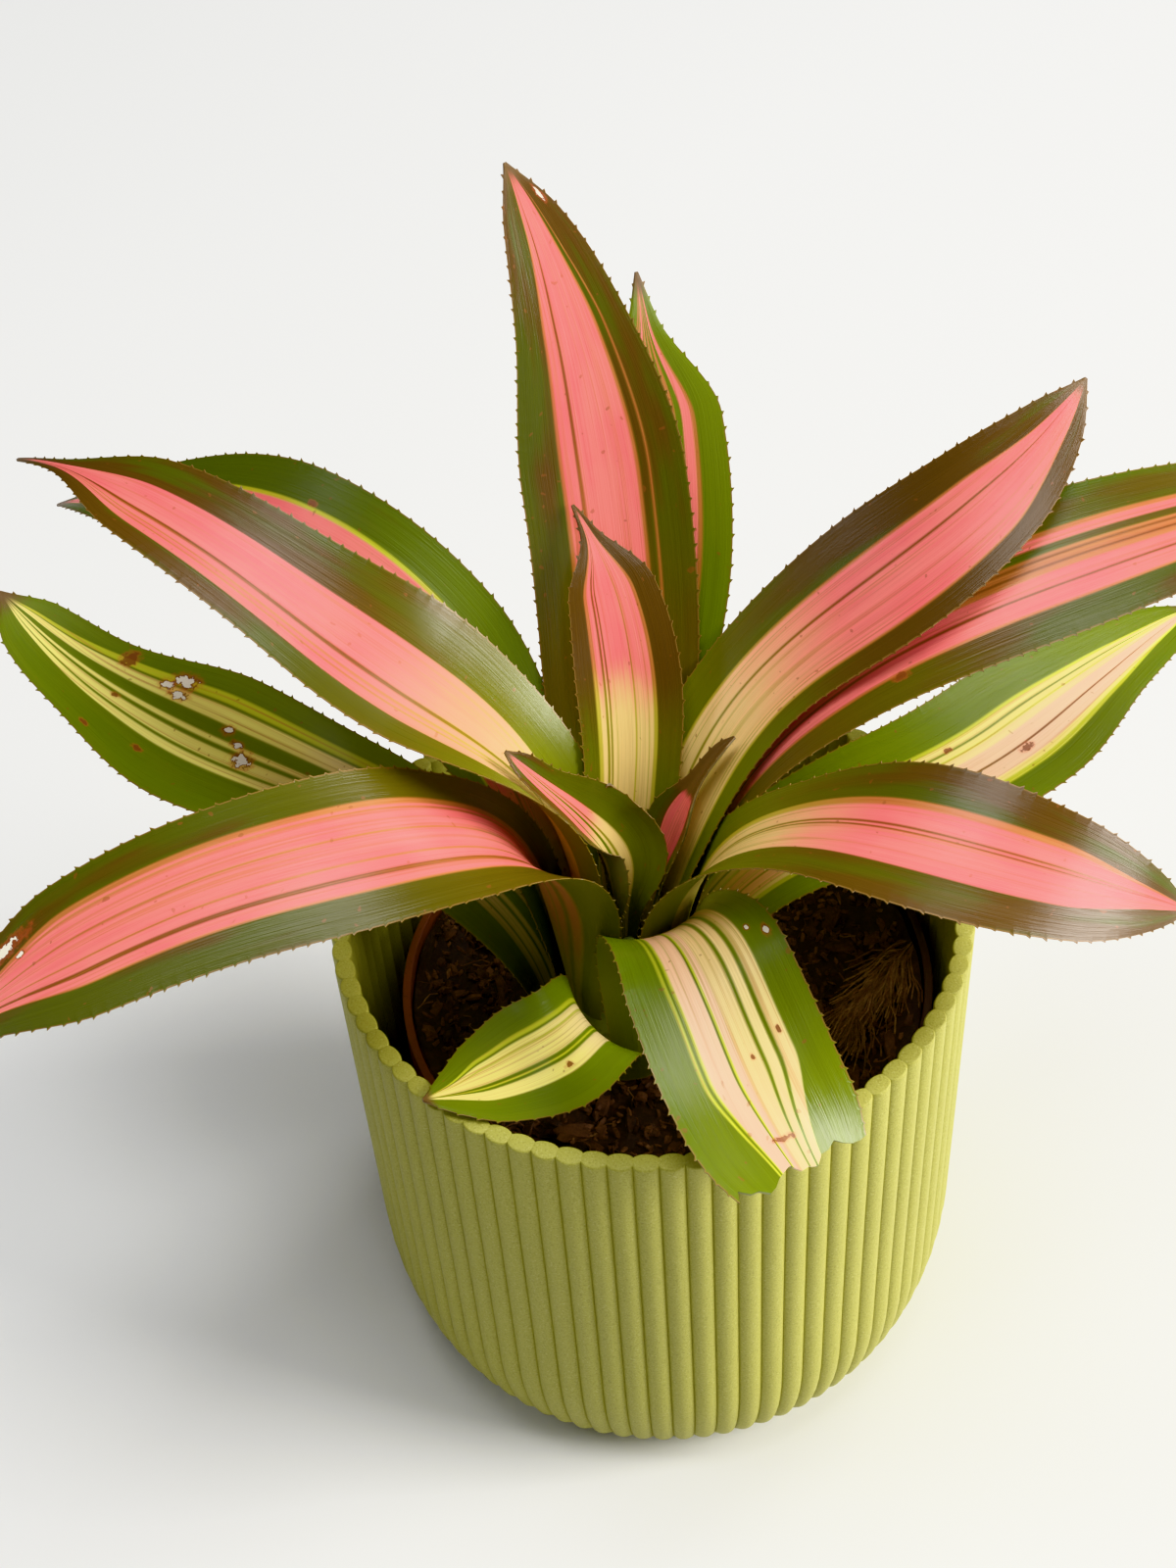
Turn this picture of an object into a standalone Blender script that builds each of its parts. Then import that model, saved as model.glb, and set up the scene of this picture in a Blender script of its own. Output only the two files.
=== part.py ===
"""Bromeliad with striped strap leaves, in a grower's pot inside a ribbed cover pot.

The origin is the centre of the cover pot's flat base, +Z is up and the front of the plant faces -Y.
Driving dimensions are in millimetres and degrees, and the meshes are made in metres.
"""

import math
from dataclasses import dataclass

import bmesh
import bpy
import numpy as np
from mathutils import Euler, Matrix, Vector

MM = 0.001
GAP = 0.3

# Cover pot
COVER_HEIGHT = 128.3
COVER_RIM_RADIUS = 69.2
COVER_WAIST_RADIUS = 68.2
COVER_FOOT_RADIUS = 55.5
COVER_CORNER_HEIGHT = 35.4
COVER_WALL = 2.0
RIB_COUNT = 82
RIB_RISE = 1.0
RIB_SIDES = 3
RIB_FADE = 8.0
RIB_START = 183.8

# Grower's pot
NURSERY_CENTRE = (2.6, 0.5)
NURSERY_TOP = 101.0
NURSERY_RIM_RADIUS = 59.8
NURSERY_WALL = 1.8
NURSERY_BAND = 9.0
NURSERY_BAND_STEP = 1.6
NURSERY_FOOT_RADIUS = 43.0
NURSERY_BASE = COVER_WALL + GAP
DRAIN_COUNT = 4
DRAIN_RADIUS = 3.5
DRAIN_CIRCLE = 24.0

# Potting mix: relief and bark chips stay outside MIX_CALM, where the leaf bases are
MIX_TOP = 94.0
MIX_RELIEF = 1.6
MIX_CALM = 24.0
MIX_SIDE_GAP = 0.9
MIX_SHOULDER = 5.0
MIX_RINGS = 7
MIX_SECTORS = 26
CHIP_COUNT = 14
CHIP_SIZE = (10.0, 4.8, 5.2)
CHIP_CIRCLES = (29.0, 45.0)
CHIP_TILT = 0.4
COIR_PLACE = (45.0, 13.0)
COIR_SIZE = (17.0, 10.0, 7.0)
COIR_ANGLES = (0.2, 0.1, 0.8)
CLOD_ROUGHNESS = 0.2

# Stock that the leaves sit on: a cone under their bases, with a plain root in the mix
STOCK_CENTRE = (-8.0, -5.0)
STOCK_LEAN = 0.12
STOCK_LEVEL = 97.0
STOCK_RADIUS = 19.0
STOCK_SLOPE = 1.25
STOCK_TIP_RADIUS = 1.6
STOCK_ROOT_RADIUS = 12.0
STOCK_ROOT_DEPTH = 12.0
STOCK_ROOT_TOP = 95.0
SEAT_GAP = 0.8

# Leaf blades
BLADE_THICKNESS = 0.62
ROW_LENGTH = 12.0
BLADE_COLUMNS = 4
SPINE_HEIGHT = 0.9
SPINE_FORWARD = 0.7
SPINE_FOOT = 1.7
RISE_AT = (0.0, 0.2, 0.4, 0.65, 1.0)
TURN_AT = (0.0, 0.25, 0.6, 1.0)
WIDTH_AT = (0.0, 0.2, 0.4, 0.6, 0.8, 0.93, 1.0)
DISH_AT = (0.0, 0.35, 1.0)
PATH_STEPS = 240
LARGEST_BEND = 100.0

OLIVE = (0.33, 0.34, 0.09)
TERRACOTTA = (0.17, 0.035, 0.015)
PEAT = (0.045, 0.02, 0.01)
DULL_GREEN = (0.12, 0.14, 0.03)
PINK = (0.80, 0.17, 0.18)
CREAM = (0.80, 0.68, 0.33)
GREEN = (0.13, 0.26, 0.02)


@dataclass(frozen=True)
class Leaf:
    """One strap leaf, as it leaves the stock and bends outward.

    seat is the radius of its base on the stock, and azimuth the way it leaves, from +X towards +Y.
    rise is the slope of its midrib over the level at RISE_AT of its length, turn the sideways
    bend and roll the twist at the last three of TURN_AT, and half_width and dish follow
    WIDTH_AT and DISH_AT. end is half the width of the tip.
    """

    name: str
    seat: float
    azimuth: float
    length: float
    rise: tuple
    turn: tuple
    roll: tuple
    half_width: tuple
    dish: tuple = (20.0, 14.0, 8.0)
    end: float = 0.4
    colour: tuple = PINK


LEAVES = (
    Leaf("leaf_curl_front", 3.0, 106, 70, (88, 97, 68, 61, 54), (16, 90, 64), (4, -29, -30),
         (3, 6, 13, 9, 4.5, 3), dish=(60, 50, 40)),
    Leaf("leaf_core", 4.2, 100, 46, (84, 74, 72, 80, 120), (0, 0, 0), (0, 0, 0),
         (2.5, 2.5, 3, 4.5, 4, 2.5), dish=(35, 60, 60), colour=GREEN),
    Leaf("leaf_curl_right", 5.4, 34, 59, (88, 79, 67, 61, 38), (1, -1, -16), (0, 1, -10),
         (3, 3.5, 5, 7, 2.5, 2), dish=(40, 60, 60)),
    Leaf("leaf_centre_young", 6.6, 85, 104, (88, 72, 62, 50, 18), (-14, 8, 33), (12, -7, -14),
         (4, 10, 10.5, 11.5, 9.5, 2)),
    Leaf("leaf_right_upper", 7.8, 39, 166, (88, 61, 36, 31, 20), (6, -24, 13), (-7, 8, 34),
         (8, 12, 14.5, 17.5, 13, 6.5)),
    Leaf("leaf_left_upper", 9.0, 146, 202, (88, 76, 36, 17, -25), (14, -1, -8), (19, -14, 3),
         (9, 16, 19.5, 14, 10.5, 2)),
    Leaf("leaf_back_tall", 10.0, 89, 177, (88, 56, 52, 49, 39), (-7, 8, 32), (12, -10, -1),
         (7, 14, 17.5, 18, 12, 6.5)),
    Leaf("leaf_right_front", 11.0, 340, 165, (85, 75, 41, -4, -45), (-6, -5, 43), (-8, 5, 52),
         (10, 13.5, 14, 17.5, 13, 6)),
    Leaf("leaf_left_front", 12.0, 192, 191, (85, 79, 24, -6, -26), (13, 3, 13), (8, -32, -9),
         (10, 17.5, 17.5, 16, 14, 5.5)),
    Leaf("leaf_right_behind", 13.0, 29, 213, (85, 61, 29, 9, -11), (-4, -17, -3), (-17, 21, 9),
         (11, 11, 17, 16.5, 13.5, 5)),
    Leaf("leaf_left_behind", 14.0, 131, 212, (85, 59, 25, -7, -33), (-5, 9, 11), (-1, -28, 4),
         (12, 12.5, 17, 17, 11.5, 5)),
    Leaf("leaf_back_green", 15.0, 80, 153, (85, 64, 54, 50, 51), (-5, 0, 17), (1, 2, 5),
         (12, 14, 15.5, 18, 15.5, 3.5), colour=GREEN),
    Leaf("leaf_front_bent", 16.0, 304, 110, (88, 96, 50, -18, -25), (-3, -17, -3), (-12, 20, -19),
         (13, 13.5, 14, 17.5, 18, 19), end=18.0, colour=CREAM),
    Leaf("leaf_right_low", 17.0, 27, 170, (80, 38, 5, -4, -10), (-17, 12, 13), (7, 8, 5),
         (13, 14, 16.5, 17.5, 11, 6.5), colour=CREAM),
    Leaf("leaf_left_striped", 18.0, 151, 173, (80, 44, 11, 1, 17), (6, -6, -22), (-2, -5, -5),
         (14, 14, 16, 19, 12, 8), colour=CREAM),
    Leaf("leaf_front_small", 19.0, 249, 69, (88, 88, 28, 10, 11), (7, -32, -55), (-37, -12, 6),
         (13, 12.5, 12.5, 14, 11, 5), colour=CREAM),
)


def clear_scene():
    """Removes everything that the scene starts with."""
    for existing in list(bpy.data.objects):
        bpy.data.objects.remove(existing, do_unlink=True)


def new_collection(name):
    """A collection linked to the scene."""
    made = bpy.data.collections.new(name)
    bpy.context.scene.collection.children.link(made)
    return made


def principled(name, colour, roughness):
    """A plain material of one colour."""
    material = bpy.data.materials.new(name)
    material.use_nodes = True
    shader = material.node_tree.nodes["Principled BSDF"]
    shader.inputs["Base Color"].default_value = (*colour, 1.0)
    shader.inputs["Roughness"].default_value = roughness
    shader.inputs["Metallic"].default_value = 0.0
    return material


def mesh_object(name, mesh, collection, material=None):
    """Links the finished mesh (a bmesh, in millimetres) as an object in metres."""
    bmesh.ops.recalc_face_normals(mesh, faces=mesh.faces)
    bmesh.ops.scale(mesh, vec=(MM, MM, MM), verts=mesh.verts)
    data = bpy.data.meshes.new(name)
    mesh.to_mesh(data)
    mesh.free()
    made = bpy.data.objects.new(name, data)
    collection.objects.link(made)
    if material:
        data.materials.append(material)
    return made


def shade_round(thing, angle=40.0):
    """Smooth shading with the true corners left sharp."""
    thing.data.shade_smooth()
    thing.data.set_sharp_from_angle(angle=math.radians(angle))


def add_solidify(thing, thickness, offset):
    """Gives an open surface its wall."""
    wall = thing.modifiers.new("wall", "SOLIDIFY")
    wall.thickness = thickness * MM
    wall.offset = offset
    return wall


def add_boolean(thing, other, operation):
    """Joins or cuts with the exact solver."""
    step = thing.modifiers.new(other.name, "BOOLEAN")
    step.operation = operation
    step.solver = "EXACT"
    step.object = other
    return step


def as_helper(thing):
    """Marks an object that only shapes another one."""
    thing.hide_render = True
    thing.display_type = "WIRE"
    return thing


def turned(profile, steps):
    """A surface of revolution about Z from (radius, height) points, as a bmesh."""
    mesh = bmesh.new()
    points = [mesh.verts.new((radius, 0.0, height)) for radius, height in profile]
    edges = [mesh.edges.new(pair) for pair in zip(points, points[1:])]
    bmesh.ops.spin(mesh, geom=points + edges, axis=(0, 0, 1), cent=(0, 0, 0),
                   angle=math.tau, steps=steps, use_merge=True)
    bmesh.ops.remove_doubles(mesh, verts=mesh.verts, dist=0.001)
    return mesh


def smooth_curve(stations, values, at):
    """Values between the stations, on a smooth curve through them."""
    stations = np.asarray(stations, float)
    values = np.asarray(values, float)
    spans = np.diff(stations)
    slopes = np.diff(values) / spans
    tangents = np.concatenate([slopes[:1], slopes[:-1], slopes[-1:]])
    tangents[1:-1] = (slopes[:-1] * spans[1:] + slopes[1:] * spans[:-1]) / (spans[:-1] + spans[1:])
    cell = np.clip(np.searchsorted(stations, at) - 1, 0, len(spans) - 1)
    share = (at - stations[cell]) / spans[cell]
    return hermite(share, spans[cell], values[cell], values[cell + 1],
                   tangents[cell], tangents[cell + 1])


def level_curve(stations, values, at):
    """Like smooth_curve, but it never swings past the values it joins."""
    stations = np.asarray(stations, float)
    values = np.asarray(values, float)
    spans = np.diff(stations)
    slopes = np.diff(values) / spans
    tangents = np.zeros(len(values))
    tangents[0], tangents[-1] = slopes[0], slopes[-1]
    for i in range(1, len(values) - 1):
        if slopes[i - 1] * slopes[i] > 0:
            near, far = 2 * spans[i] + spans[i - 1], spans[i] + 2 * spans[i - 1]
            tangents[i] = (near + far) / (near / slopes[i - 1] + far / slopes[i])
    cell = np.clip(np.searchsorted(stations, at) - 1, 0, len(spans) - 1)
    share = (at - stations[cell]) / spans[cell]
    return hermite(share, spans[cell], values[cell], values[cell + 1],
                   tangents[cell], tangents[cell + 1])


def hermite(share, span, start, end, start_slope, end_slope):
    """The cubic between two values with the given slopes."""
    rest = 1.0 - share
    return ((1 + 2 * share) * rest**2 * start + share * rest**2 * span * start_slope
            + (3 - 2 * share) * share**2 * end - rest * share**2 * span * end_slope)


def stock_centre(height):
    """Where the leaning stock's axis is at a height."""
    lean = STOCK_LEAN * (height - STOCK_LEVEL)
    return STOCK_CENTRE[0] + lean, STOCK_CENTRE[1] + lean


def seat_height(radius):
    """Height of a leaf's base that sits at this radius on the stock."""
    return STOCK_LEVEL + (STOCK_RADIUS - radius) * STOCK_SLOPE


class Blade:
    """The middle surface of a leaf, as points by share of length and side."""

    def __init__(self, leaf):
        self.leaf = leaf
        self.share = np.linspace(0.0, 1.0, PATH_STEPS + 1)
        self.rise = np.radians(smooth_curve(RISE_AT, leaf.rise, self.share))
        self.heading = np.radians(leaf.azimuth + smooth_curve(TURN_AT, (0.0, *leaf.turn), self.share))
        base = seat_height(leaf.seat)
        self.axis = stock_centre(base)
        out = math.radians(leaf.azimuth)
        start = (self.axis[0] + leaf.seat * math.cos(out), self.axis[1] + leaf.seat * math.sin(out), base)
        along = self.along(self.rise, self.heading)
        steps = (along[1:] + along[:-1]) / 2 * leaf.length / PATH_STEPS
        self.path = np.array(start) + np.concatenate([np.zeros((1, 3)), np.cumsum(steps, axis=0)])

    @staticmethod
    def along(rise, heading):
        """Unit vectors along the midrib."""
        level = np.cos(rise)
        return np.stack([level * np.cos(heading), level * np.sin(heading), np.sin(rise)], axis=-1)

    def point(self, share, side):
        """The point at this share of the length, with side from -1 to 1 across the blade."""
        leaf = self.leaf
        centre = np.array([np.interp(share, self.share, self.path[:, k]) for k in range(3)])
        rise = np.interp(share, self.share, self.rise)
        heading = np.interp(share, self.share, self.heading)
        along = self.along(rise, heading)
        across = np.array([-math.sin(heading), math.cos(heading), 0.0])
        upper = np.cross(along, across)
        roll = math.radians(smooth_curve(TURN_AT, (0.0, *leaf.roll), np.array([share]))[0])
        across, upper = (across * math.cos(roll) + upper * math.sin(roll),
                         upper * math.cos(roll) - across * math.sin(roll))
        half = level_curve(WIDTH_AT, (*leaf.half_width, leaf.end), np.array([share]))[0]
        away = max(math.hypot(centre[0] - self.axis[0], centre[1] - self.axis[1]), leaf.seat)
        dish = math.radians(np.interp(share, DISH_AT, leaf.dish))
        bend = min(max(half * abs(math.sin(rise)) / away, dish), math.radians(LARGEST_BEND))
        return (centre + across * half * math.sin(bend * side) / bend
                + upper * half * (1.0 - math.cos(bend * side)) / bend)

    def spine(self, share, side):
        """The tip of a margin spine that starts at this share."""
        step = 0.002
        edge = self.point(share, side)
        ahead = self.point(min(share + step, 1.0), side) - self.point(share - step, side)
        outward = edge - self.point(share, side * 0.8)
        ahead /= np.linalg.norm(ahead)
        outward -= ahead * outward.dot(ahead)
        outward /= np.linalg.norm(outward)
        return edge + ahead * SPINE_FORWARD + outward * SPINE_HEIGHT


def make_leaf(leaf, collection, material):
    """A blade with a spine in each row of both margins, from a grid bent to the leaf's curve."""
    rows = max(5, round(leaf.length / ROW_LENGTH))
    blade = Blade(leaf)
    mesh = bmesh.new()
    bmesh.ops.create_grid(mesh, x_segments=rows, y_segments=BLADE_COLUMNS, size=1.0)
    margins = [edge for edge in mesh.edges if abs(edge.verts[0].co.y + edge.verts[1].co.y) > 1.999]
    bmesh.ops.subdivide_edges(mesh, edges=margins, cuts=2)
    for vert in mesh.verts:
        place, side = (vert.co.x + 1.0) / 2.0 * rows, vert.co.y
        row, part = int(place + 0.01), place - int(place + 0.01)
        foot = row / rows
        if part < 0.1:
            vert.co = blade.point(foot, side)
        elif part < 0.5:
            vert.co = blade.spine(max(foot, 0.004), side)
        else:
            vert.co = blade.point(foot + SPINE_FOOT / leaf.length, side)
    bmesh.ops.triangulate(mesh, faces=mesh.faces)
    thing = mesh_object(leaf.name, mesh, collection, material)
    add_solidify(thing, BLADE_THICKNESS, 0.0)
    shade_round(thing, 50.0)
    return thing


def cover_profile():
    """(radius, height) of the cover pot's outside at the valleys between ribs, rim to centre."""
    points = [(COVER_RIM_RADIUS, COVER_HEIGHT), (COVER_WAIST_RADIUS, COVER_CORNER_HEIGHT)]
    inset = COVER_WAIST_RADIUS - COVER_FOOT_RADIUS
    for degrees in (30, 60, 90):
        angle = math.radians(degrees)
        drop = COVER_CORNER_HEIGHT * math.sin(angle)
        points.append((COVER_FOOT_RADIUS + inset * math.cos(angle), COVER_CORNER_HEIGHT - drop))
    return points + [(0.0, 0.0)]


def make_cover_pot(collection):
    """The ribbed pot: a turned wall drawn out into ribs, with an even thickness."""
    mesh = turned(cover_profile(), RIB_COUNT * RIB_SIDES)
    for vert in mesh.verts:
        radius = math.hypot(vert.co.x, vert.co.y)
        if radius < 1.0:
            continue
        angle = math.atan2(vert.co.y, vert.co.x)
        side = round(angle / math.tau * RIB_COUNT * RIB_SIDES)
        across = 2.0 * (side % RIB_SIDES) / RIB_SIDES - 1.0
        lift = RIB_RISE * (1.0 - across**2) * min(vert.co.z / RIB_FADE, 1.0)
        vert.co.x *= 1.0 + lift / radius
        vert.co.y *= 1.0 + lift / radius
    turn = Matrix.Rotation(math.radians(RIB_START), 3, "Z")
    bmesh.ops.rotate(mesh, verts=mesh.verts, cent=(0, 0, 0), matrix=turn)
    pot = mesh_object("cover_pot", mesh, collection, principled("olive plastic", OLIVE, 0.55))
    add_solidify(pot, COVER_WALL, -1.0)
    shade_round(pot, 35.0)
    return pot


def make_nursery_pot(collection, helpers):
    """The grower's pot: a tapered wall under a wider rim band, with drain holes."""
    body = NURSERY_RIM_RADIUS - NURSERY_BAND_STEP
    band = NURSERY_TOP - NURSERY_BAND
    profile = [(NURSERY_RIM_RADIUS, NURSERY_TOP), (NURSERY_RIM_RADIUS, band), (body, band - 1.0),
               (NURSERY_FOOT_RADIUS, NURSERY_BASE), (0.0, NURSERY_BASE)]
    mesh = turned(profile, 48)
    bmesh.ops.translate(mesh, verts=mesh.verts, vec=(*NURSERY_CENTRE, 0.0))
    pot = mesh_object("nursery_pot", mesh, collection, principled("terracotta plastic", TERRACOTTA, 0.5))
    add_solidify(pot, NURSERY_WALL, -1.0)
    for n in range(DRAIN_COUNT):
        angle = math.tau * n / DRAIN_COUNT
        drill = bmesh.new()
        bmesh.ops.create_cone(drill, cap_ends=True, segments=8, radius1=DRAIN_RADIUS,
                              radius2=DRAIN_RADIUS, depth=4 * NURSERY_WALL)
        place = (NURSERY_CENTRE[0] + DRAIN_CIRCLE * math.cos(angle),
                 NURSERY_CENTRE[1] + DRAIN_CIRCLE * math.sin(angle), NURSERY_BASE)
        bmesh.ops.translate(drill, verts=drill.verts, vec=place)
        add_boolean(pot, as_helper(mesh_object(f"drain_{n}", drill, helpers)), "DIFFERENCE")
    shade_round(pot, 35.0)
    return pot


def mix_profile():
    """(radius, height) of the potting mix, from the middle of its top down to its middle below."""
    low = NURSERY_BASE + NURSERY_WALL + GAP
    inside = NURSERY_RIM_RADIUS - NURSERY_BAND_STEP - NURSERY_WALL - MIX_SIDE_GAP
    foot = NURSERY_FOOT_RADIUS - NURSERY_WALL - MIX_SIDE_GAP
    shoulder = MIX_TOP - MIX_SHOULDER
    edge = foot + (inside - foot) * (shoulder - low) / (NURSERY_TOP - NURSERY_BAND - low)
    top = [(inside * n / MIX_RINGS, MIX_TOP) for n in range(MIX_RINGS)]
    return top + [(edge - 1.0, MIX_TOP - 2.0), (edge, shoulder), (foot, low), (0.0, low)]


def lump(size, place, angles, seed):
    """A rough clod: a stretched ball with its points moved at random, as a bmesh."""
    rough = np.random.default_rng(seed)
    mesh = bmesh.new()
    bmesh.ops.create_icosphere(mesh, subdivisions=1, radius=0.5)
    for vert in mesh.verts:
        vert.co *= 1.0 + rough.uniform(-CLOD_ROUGHNESS, CLOD_ROUGHNESS)
    bmesh.ops.scale(mesh, vec=size, verts=mesh.verts)
    bmesh.ops.rotate(mesh, verts=mesh.verts, cent=(0, 0, 0), matrix=Euler(angles).to_matrix())
    bmesh.ops.translate(mesh, verts=mesh.verts, vec=place)
    return mesh


def bark_chips(rough):
    """Bark chips spread round the mix, each a clod turned its own way."""
    chips = []
    for n in range(CHIP_COUNT):
        angle = math.tau * (n + rough.uniform(-0.3, 0.3)) / CHIP_COUNT
        radius = rough.uniform(*CHIP_CIRCLES)
        tilt = rough.uniform(-CHIP_TILT, CHIP_TILT, 2)
        place = (NURSERY_CENTRE[0] + radius * math.cos(angle),
                 NURSERY_CENTRE[1] + radius * math.sin(angle), MIX_TOP)
        chips.append(lump(CHIP_SIZE, place, (*tilt, angle * 3), n + 20))
    return chips


def make_potting_mix(collection, helpers):
    """The uneven mix with bark chips and a tuft of coir joined on, and a plain hole for the stock."""
    rough = np.random.default_rng(7)
    mesh = turned(mix_profile(), MIX_SECTORS)
    for vert in mesh.verts:
        if vert.co.z > MIX_TOP - 3.0 and vert.co.xy.length > MIX_CALM:
            vert.co.z += rough.uniform(-MIX_RELIEF, MIX_RELIEF)
    bmesh.ops.translate(mesh, verts=mesh.verts, vec=(*NURSERY_CENTRE, 0.0))
    mix = mesh_object("potting_mix", mesh, collection, principled("peat and bark", PEAT, 0.9))
    clods = [lump(COIR_SIZE, (*COIR_PLACE, MIX_TOP), COIR_ANGLES, 3)] + bark_chips(rough)
    for n, clod in enumerate(clods):
        add_boolean(mix, as_helper(mesh_object(f"clod_{n}", clod, helpers)), "UNION")
    hole = bmesh.new()
    radius = STOCK_ROOT_RADIUS + GAP
    bmesh.ops.create_cone(hole, cap_ends=True, segments=32, radius1=radius, radius2=radius,
                          depth=2 * (STOCK_ROOT_DEPTH + GAP))
    bmesh.ops.translate(hole, verts=hole.verts, vec=(*STOCK_CENTRE, STOCK_ROOT_TOP))
    add_boolean(mix, as_helper(mesh_object("stock_hole", hole, helpers)), "DIFFERENCE")
    return mix


def make_stock(collection):
    """The short stock: a plain root in the mix under a cone that the leaf bases sit on."""
    shoulder = STOCK_LEVEL - SEAT_GAP
    tip = seat_height(STOCK_TIP_RADIUS) - SEAT_GAP
    bottom = STOCK_ROOT_TOP - STOCK_ROOT_DEPTH
    profile = [(0.0, tip), (STOCK_TIP_RADIUS, tip), (STOCK_RADIUS, shoulder),
               (STOCK_ROOT_RADIUS, shoulder), (STOCK_ROOT_RADIUS, bottom), (0.0, bottom)]
    mesh = turned(profile, 32)
    for vert in mesh.verts:
        centre = stock_centre(max(vert.co.z, STOCK_LEVEL))
        vert.co.x += centre[0]
        vert.co.y += centre[1]
    stock = mesh_object("stock", mesh, collection, principled("stock green", DULL_GREEN, 0.6))
    shade_round(stock, 35.0)
    return stock


def main():
    """Builds the whole plant."""
    clear_scene()
    parts = new_collection("bromeliad")
    helpers = new_collection("helpers")
    make_cover_pot(parts)
    make_nursery_pot(parts, helpers)
    make_potting_mix(parts, helpers)
    make_stock(parts)
    for leaf in LEAVES:
        make_leaf(leaf, parts, principled(leaf.name, leaf.colour, 0.38))


main()
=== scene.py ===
"""Bromeliad with striped leaves in its pots: the fine leaves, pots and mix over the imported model."""

import logging
import math
from dataclasses import dataclass
from enum import Enum
from typing import Any, Sequence

import bpy
import numpy as np
from mathutils import Euler, Matrix, Vector, noise


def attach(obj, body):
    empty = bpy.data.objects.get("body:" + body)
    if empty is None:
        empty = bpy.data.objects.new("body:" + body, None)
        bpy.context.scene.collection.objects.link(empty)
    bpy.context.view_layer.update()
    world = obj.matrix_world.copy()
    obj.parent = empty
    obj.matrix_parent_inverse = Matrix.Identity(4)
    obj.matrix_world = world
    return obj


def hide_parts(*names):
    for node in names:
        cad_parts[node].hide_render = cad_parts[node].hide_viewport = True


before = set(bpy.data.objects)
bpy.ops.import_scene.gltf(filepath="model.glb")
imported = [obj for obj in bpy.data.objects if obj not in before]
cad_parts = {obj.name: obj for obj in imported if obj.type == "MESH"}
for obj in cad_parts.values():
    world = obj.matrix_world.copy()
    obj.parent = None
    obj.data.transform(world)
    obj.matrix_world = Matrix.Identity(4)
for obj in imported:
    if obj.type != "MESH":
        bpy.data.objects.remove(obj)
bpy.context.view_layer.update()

MM = 0.001
log = logging.getLogger("bromeliad")
Colour = tuple[float, float, float]


class Signal:
    """An output socket that Python's arithmetic works on, each step adding a Math node."""

    def __init__(self, painter: "Painter", socket: bpy.types.NodeSocket) -> None:
        """Keeps the socket and the painter that adds nodes after it."""
        self.painter = painter
        self.socket = socket

    def maths(self, operation: str, *values: Any) -> "Signal":
        """Feeds this and other values to one Math node.

        Args:
            operation: the Math node's operation.
            values: numbers or signals for its sockets, in order.

        Returns:
            The node's output.
        """
        return self.painter.node("ShaderNodeMath", {"operation": operation}, dict(enumerate(values)))

    def __add__(self, other: Any) -> "Signal":
        """This plus other."""
        return self.maths("ADD", self, other)

    __radd__ = __add__

    def __mul__(self, other: Any) -> "Signal":
        """This times other."""
        return self.maths("MULTIPLY", self, other)

    __rmul__ = __mul__

    def __sub__(self, other: Any) -> "Signal":
        """This minus other."""
        return self.maths("SUBTRACT", self, other)

    def __rsub__(self, other: Any) -> "Signal":
        """Other minus this."""
        return self.maths("SUBTRACT", other, self)

    def __truediv__(self, other: Any) -> "Signal":
        """This divided by other."""
        return self.maths("DIVIDE", self, other)

    def __pow__(self, other: Any) -> "Signal":
        """This to a power."""
        return self.maths("POWER", self, other)

    def __abs__(self) -> "Signal":
        """The size of this without its sign."""
        return self.maths("ABSOLUTE", self)

    def rising(self, start: float, end: float) -> "Signal":
        """A smooth step from 0 at start to 1 at end; it falls where start is above end."""
        low, high = min(start, end), max(start, end)
        step = self.painter.node("ShaderNodeMapRange", {"interpolation_type": "SMOOTHSTEP"},
                                 {0: self, 1: low, 2: high, 3: 0.0, 4: 1.0})
        return step if start < end else 1 - step


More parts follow.
